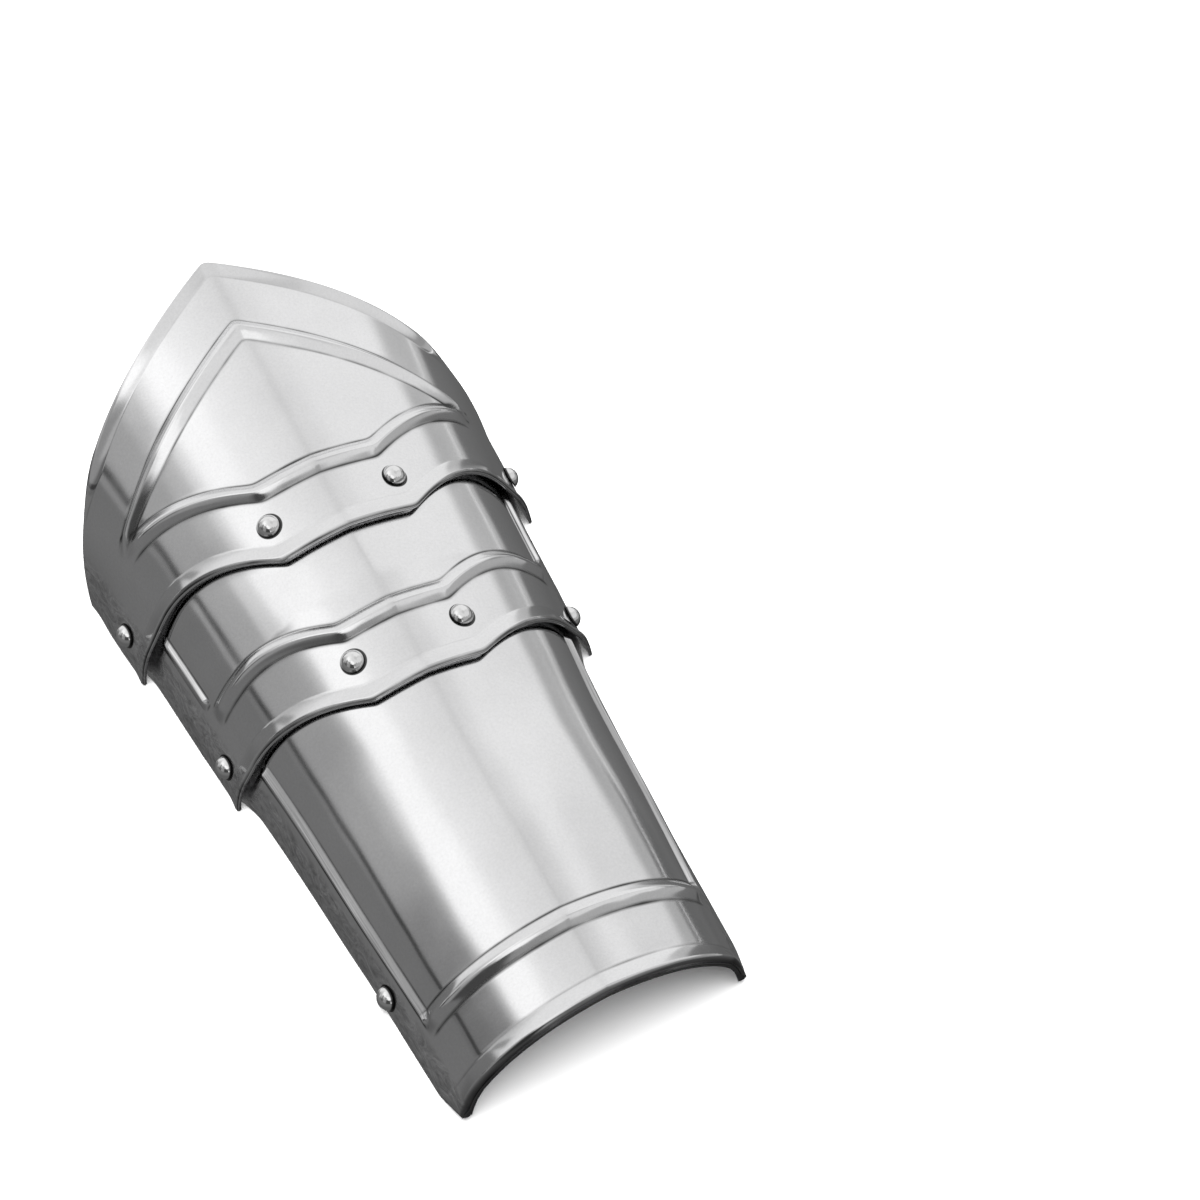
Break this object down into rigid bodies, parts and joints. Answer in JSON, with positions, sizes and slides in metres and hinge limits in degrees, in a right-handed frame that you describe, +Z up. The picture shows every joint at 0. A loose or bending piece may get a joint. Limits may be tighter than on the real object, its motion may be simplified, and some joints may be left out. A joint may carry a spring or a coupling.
{
  "type": "steel vambrace",
  "caption": "Open-backed forearm guard of lapped, riveted steel plates with embossed ribs, scalloped turned edges and a pointed elbow end.",
  "frame": {"origin": "middle of the bounding box's underside, on the surface that the vambrace lies on, below the crown", "axes": "+Y along the forearm from the wrist to the elbow point, +X to the right seen from the wrist, +Z up out of the crown"},
  "size_m": [0.1506, 0.2778, 0.0822],
  "materials": {
    "plate_steel": "hand-polished steel sheet with fine grinding marks along the lower sides",
    "rivet_steel": "mirror-polished domed steel"
  },
  "bodies": {
    "root": {"elbow_plate": "plate_steel", "middle_plate": "plate_steel", "wrist_plate": "plate_steel", "rivet_elbow_crown_left": "rivet_steel", "rivet_elbow_crown_right": "rivet_steel", "rivet_elbow_side_left": "rivet_steel", "rivet_elbow_side_right": "rivet_steel", "rivet_middle_crown_left": "rivet_steel", "rivet_middle_crown_right": "rivet_steel", "rivet_middle_side_left": "rivet_steel", "rivet_middle_side_right": "rivet_steel", "rivet_wrist_side_left": "rivet_steel"}
  },
  "joints": []
}
